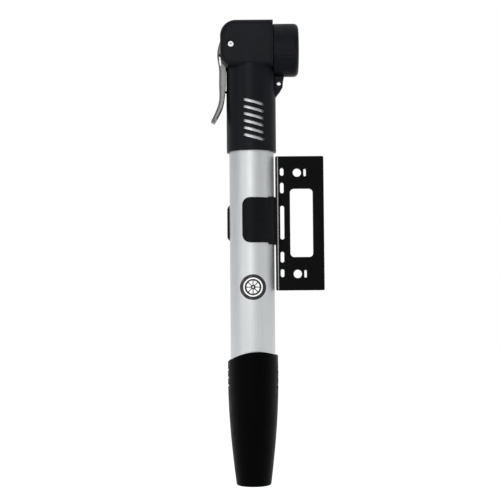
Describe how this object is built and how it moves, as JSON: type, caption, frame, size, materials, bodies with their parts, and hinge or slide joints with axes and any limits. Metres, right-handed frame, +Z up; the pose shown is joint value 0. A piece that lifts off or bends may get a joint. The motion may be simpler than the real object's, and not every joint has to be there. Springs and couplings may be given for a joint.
{
  "type": "bicycle mini pump",
  "caption": "Slim hand pump for a bicycle with a lever-locked side nozzle, a pull handle and a plate bracket that bolts beside a bottle cage.",
  "frame": {"origin": "midway between the two bottle-cage bolt holes, on the back face of the bracket plate", "axes": "+Z up along the pump towards its head, +X from the barrel towards the bolt holes, -Y is the front and +Y points into the bicycle frame"},
  "size_m": [0.0708, 0.0334, 0.2903],
  "materials": {
    "bracket_plastic": "fine moulded texture",
    "barrel_aluminium": "satin anodised, drawn along its length",
    "badge_print": "printed, clear coated",
    "head_plastic": "satin moulded",
    "cap_plastic": "satin moulded",
    "soft_rubber": "matt",
    "white_nylon": "satin",
    "seal_rubber": "greased",
    "plated_steel": "zinc plated",
    "lever_steel": "brushed and formed",
    "grey_plastic": "satin moulded",
    "spring_steel": "drawn wire",
    "brass_turned": "turned",
    "rod_steel": "ground and plated",
    "handle_plastic": "satin moulded"
  },
  "bodies": {
    "bracket": {"bracket": "bracket_plastic"},
    "pump": {"barrel": "barrel_aluminium", "badge": "badge_print", "head_body": "head_plastic", "nozzle_cap": "cap_plastic", "valve_grommet": "soft_rubber", "slip_washer": "white_nylon", "lever_pin": "plated_steel", "barrel_plug": "grey_plastic", "plug_oring": "seal_rubber", "check_spring": "spring_steel", "spring_retainer": "brass_turned", "rod_guide": "grey_plastic", "guide_bumper": "seal_rubber"},
    "plunger": {"handle": "handle_plastic", "piston_rod": "rod_steel", "piston": "grey_plastic", "piston_seal": "seal_rubber", "piston_nut": "plated_steel", "handle_screw": "plated_steel", "handle_washer": "plated_steel"},
    "lever": {"thumb_lever": "lever_steel"},
    "chuck": {"chuck_plunger": "white_nylon", "plunger_oring": "seal_rubber", "thrust_plate": "plated_steel"},
    "check_valve": {"check_ball": "seal_rubber"}
  },
  "joints": [
    {"name": "bracket_swivel", "type": "hinge", "parent": "bracket", "child": "pump", "pos_m": [-0.0286, -0.0015, 0], "axis": [0, 0, 1], "continuous": true},
    {"name": "pump_stroke", "type": "slide", "parent": "pump", "child": "plunger", "axis": [0, 0, -1], "range_m": [0, 0.165]},
    {"name": "lever_flip", "type": "hinge", "parent": "pump", "child": "lever", "pos_m": [-0.041, -0.0015, 0.111], "axis": [0, 1, 0], "range_deg": [0, 90]},
    {"name": "chuck_clamp", "type": "slide", "parent": "pump", "child": "chuck", "axis": [1, 0, 0], "range_m": [0, 0.0018]},
    {"name": "check_lift", "type": "slide", "parent": "pump", "child": "check_valve", "axis": [0, 0, 1], "range_m": [0, 0.001], "stiffness_N_per_m": 200, "springref_m": -0.001, "deforming": ["check_spring"]}
  ],
  "couplings": [
    {"joint": "chuck_clamp", "follows": "lever_flip", "m_per_rad": 0.001145}
  ]
}
